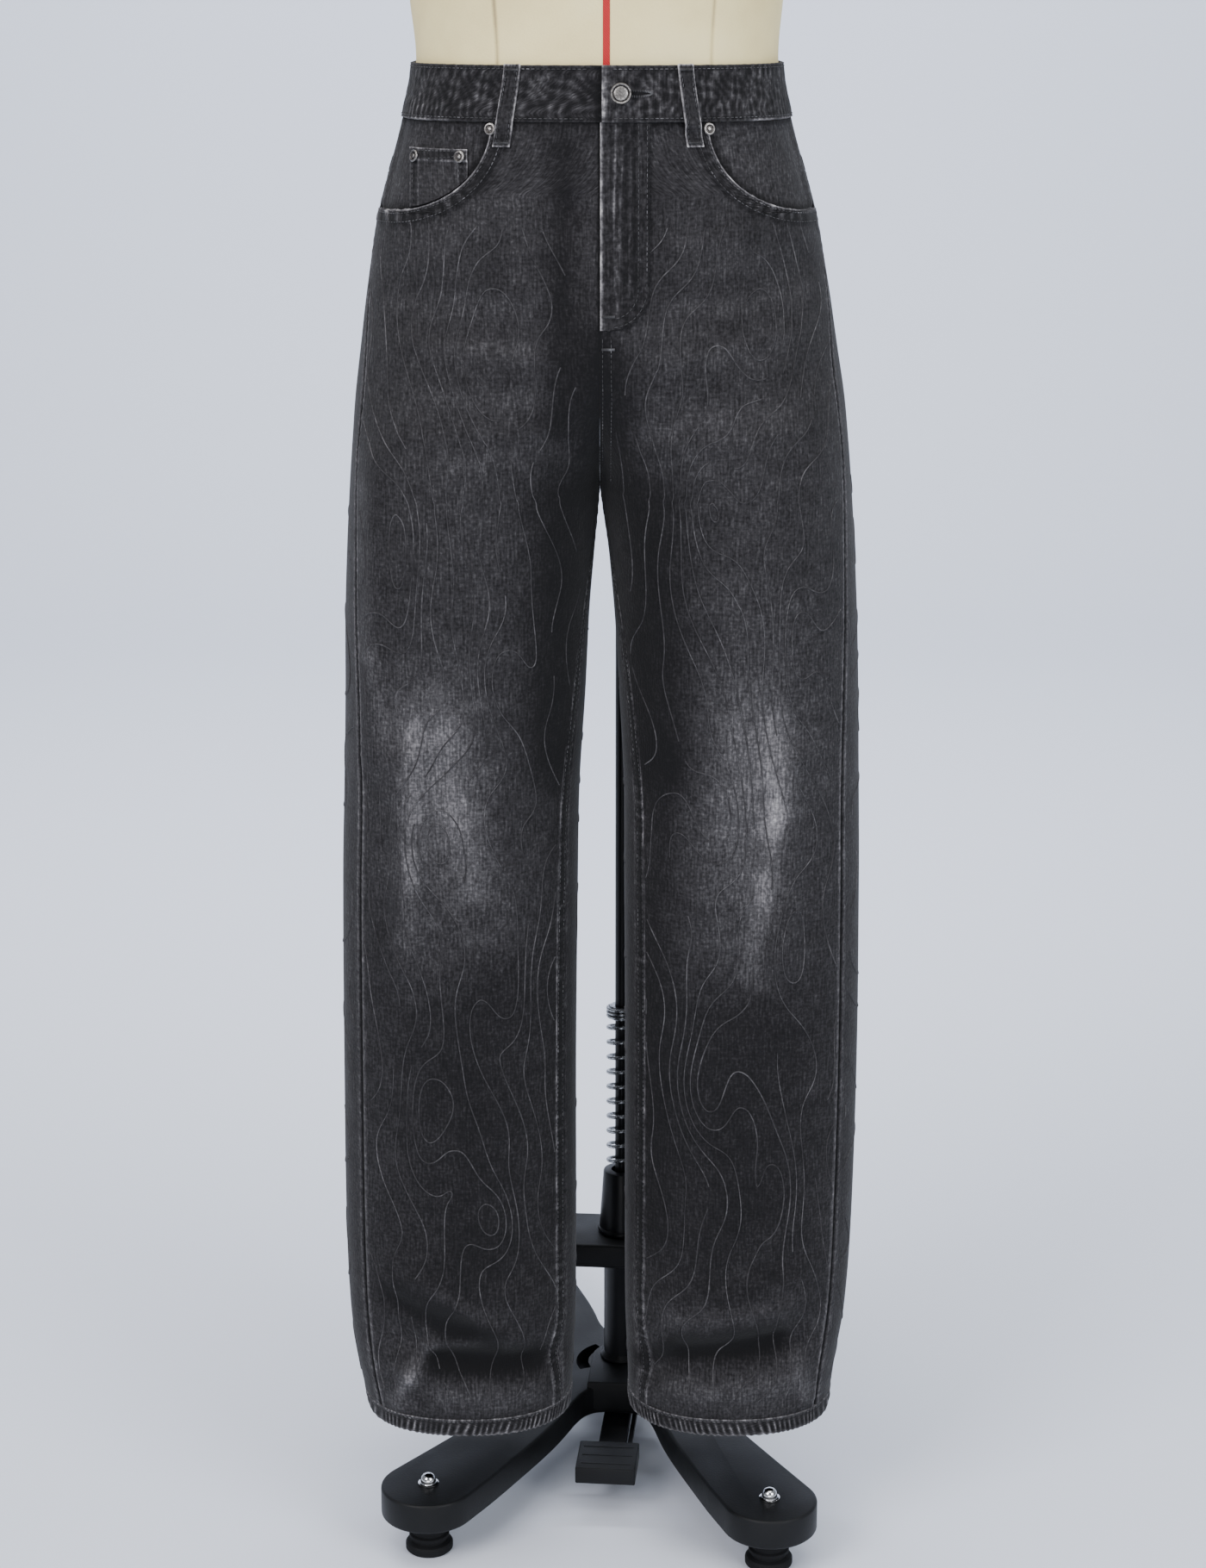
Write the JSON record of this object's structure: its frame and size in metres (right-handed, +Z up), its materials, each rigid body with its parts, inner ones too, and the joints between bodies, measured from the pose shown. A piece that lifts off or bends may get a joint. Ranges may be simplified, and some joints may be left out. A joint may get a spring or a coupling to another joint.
{
  "type": "wide leg jeans on a dress form stand",
  "caption": "Wide leg jeans in washed black denim, filled out by a limbless torso form on a column stand with a foot pedal.",
  "frame": {"origin": "centre of the bounding box on the floor, under the stand", "axes": "+Z up, the jeans face -Y, the wearer's left is at +X"},
  "size_m": [0.424, 0.5872, 1.312],
  "materials": {
    "washed_black_denim": "washed, matte",
    "antique_silver": "antique",
    "cream_canvas": "matte",
    "black_paint": "satin",
    "black_steel": "satin",
    "bright_spring_steel": "bright",
    "chrome": "polished",
    "black_rubber": "matte"
  },
  "bodies": {
    "stand": {"base": "black_paint", "lower_post": "black_paint", "cross_plate": "black_paint", "column_tube": "black_paint", "spring": "bright_spring_steel", "foot_front_right": "black_rubber", "foot_front_left": "black_rubber", "foot_rear_right": "black_rubber", "foot_rear_left": "black_rubber", "cap_nut_front_right": "chrome", "cap_nut_front_left": "chrome", "cap_nut_rear_right": "chrome", "cap_nut_rear_left": "chrome"},
    "dressed_form": {"pole": "black_steel", "spring_collar": "black_steel", "pole_bracket": "black_steel", "torso_form": "cream_canvas", "button": "antique_silver", "rivet_mouth_right": "antique_silver", "rivet_mouth_left": "antique_silver", "rivet_coin_inner": "antique_silver", "rivet_coin_outer": "antique_silver", "front_right": "washed_black_denim", "front_left": "washed_black_denim", "back_right": "washed_black_denim", "back_left": "washed_black_denim", "yoke_right": "washed_black_denim", "yoke_left": "washed_black_denim", "pocket_facing_right": "washed_black_denim", "pocket_facing_left": "washed_black_denim", "back_pocket_right": "washed_black_denim", "back_pocket_left": "washed_black_denim", "hem_right": "washed_black_denim", "hem_left": "washed_black_denim", "coin_pocket": "washed_black_denim", "fly": "washed_black_denim", "waistband": "washed_black_denim", "belt_loop_front_left": "washed_black_denim", "belt_loop_front_right": "washed_black_denim", "belt_loop_side_left": "washed_black_denim", "belt_loop_side_right": "washed_black_denim", "belt_loop_centre_back": "washed_black_denim"},
    "pedal": {"pedal": "black_paint"}
  },
  "joints": [
    {"name": "column_slide", "type": "slide", "parent": "stand", "child": "dressed_form", "axis": [0, 0, 1], "range_m": [0, 0.12], "deforming": ["spring"]},
    {"name": "pedal_hinge", "type": "hinge", "parent": "stand", "child": "pedal", "pos_m": [0.01845, -0.01195, 0.0265], "axis": [0.9962, -0.0872, 0], "range_deg": [0, 6], "stiffness_Nm_per_rad": 5, "springref_deg": -8.59}
  ]
}
